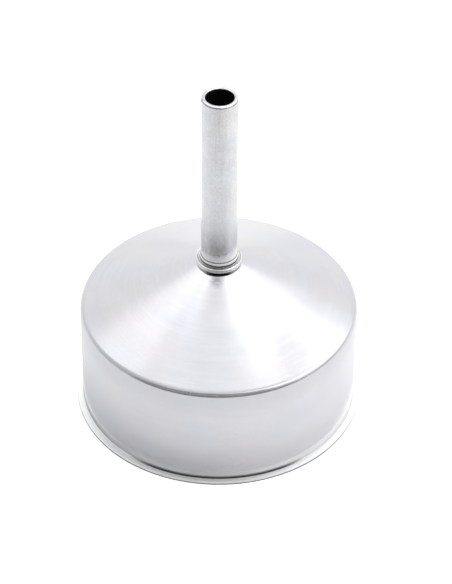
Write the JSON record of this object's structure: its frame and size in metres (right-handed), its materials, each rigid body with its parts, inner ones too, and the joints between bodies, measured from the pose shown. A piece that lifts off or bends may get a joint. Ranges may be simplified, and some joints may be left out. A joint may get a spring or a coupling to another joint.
{
  "type": "coffee maker funnel",
  "caption": "Aluminium funnel basket of a stove-top coffee maker: a flanged barrel and cone, with a feed tube and collar riveted through the top and a strainer pressed in.",
  "frame": {"origin": "centre of the rim's open face, on the surface that the funnel stands on", "axes": "+Z along the feed tube towards its mouth; X and Y across the rim, equivalent by symmetry"},
  "size_m": [0.078, 0.078, 0.098],
  "materials": {
    "shell": "satin drawn sheet, softly mottled, with faint rings round the barrel",
    "stem": "matte drawn tube with fine lines along it",
    "collar": "bright turned ring",
    "strainer": "satin sheet with punched holes"
  },
  "bodies": {
    "root": {"funnel_body": "shell", "stem_tube": "stem", "stem_collar": "collar", "strainer_plate": "strainer"}
  },
  "joints": []
}
